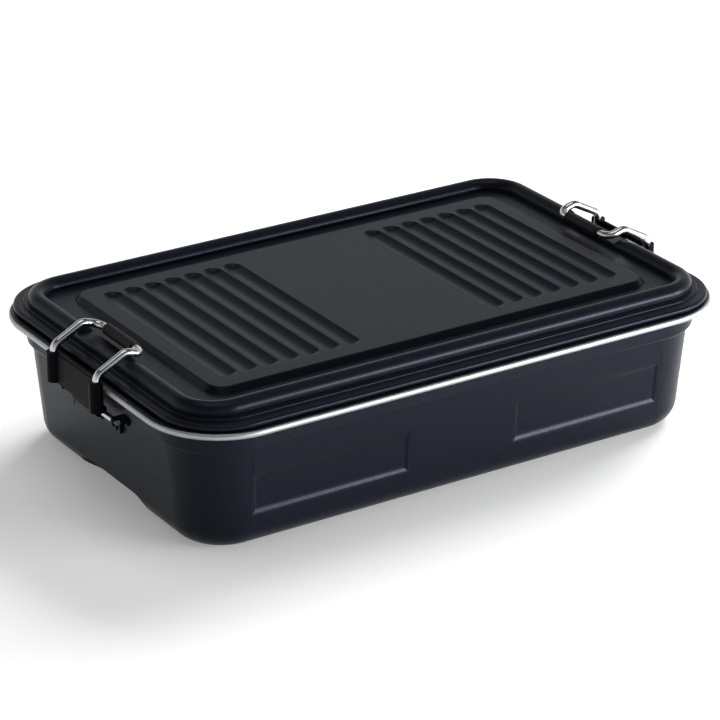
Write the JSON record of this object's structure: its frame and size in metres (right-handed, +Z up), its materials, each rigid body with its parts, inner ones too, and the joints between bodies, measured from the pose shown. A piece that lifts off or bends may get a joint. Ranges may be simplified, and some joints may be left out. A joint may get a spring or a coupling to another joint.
{
  "type": "metal lunch box",
  "caption": "Shallow rectangular steel lunch box with a bare rolled rim, a fluted lift-off lid on a flat seal, and a wire-bail latch on each short end.",
  "frame": {"origin": "on the table under the middle of the box", "axes": "+X along the long side towards the right-hand latch, +Y away from the front, +Z up"},
  "size_m": [0.2432, 0.1534, 0.0622],
  "materials": {
    "powder_coat": "satin navy-black powder coat over steel",
    "bare_steel": "polished bare stainless steel",
    "silicone": "matte silicone",
    "black_enamel": "satin black",
    "grip_rubber": "matte black sleeve"
  },
  "bodies": {
    "base": {"base_pan": "powder_coat", "rim_band": "bare_steel", "right_latch_bracket": "powder_coat", "left_latch_bracket": "powder_coat", "right_bracket_rivets": "powder_coat", "left_bracket_rivets": "powder_coat", "right_pivot_pin": "bare_steel", "left_pivot_pin": "bare_steel"},
    "lid": {"lid_pan": "powder_coat", "lid_gasket": "silicone"},
    "right_latch": {"right_latch_lever": "black_enamel", "right_wire_bail": "bare_steel", "right_grip_sleeve": "grip_rubber"},
    "left_latch": {"left_latch_lever": "black_enamel", "left_wire_bail": "bare_steel", "left_grip_sleeve": "grip_rubber"}
  },
  "joints": [
    {"name": "lid_lift", "type": "slide", "parent": "base", "child": "lid", "axis": [0, 0, 1], "range_m": [0, 0.02]},
    {"name": "right_latch_swing", "type": "hinge", "parent": "base", "child": "right_latch", "pos_m": [0.1136, 0, 0.0374], "axis": [0, 1, 0], "range_deg": [0, 136]},
    {"name": "left_latch_swing", "type": "hinge", "parent": "base", "child": "left_latch", "pos_m": [-0.1136, 0, 0.0374], "axis": [0, -1, 0], "range_deg": [0, 136]}
  ],
  "couplings": [
    {"joint": "right_latch_swing", "follows": "lid_lift", "rad_per_m": 118.6},
    {"joint": "left_latch_swing", "follows": "lid_lift", "rad_per_m": 118.6}
  ]
}
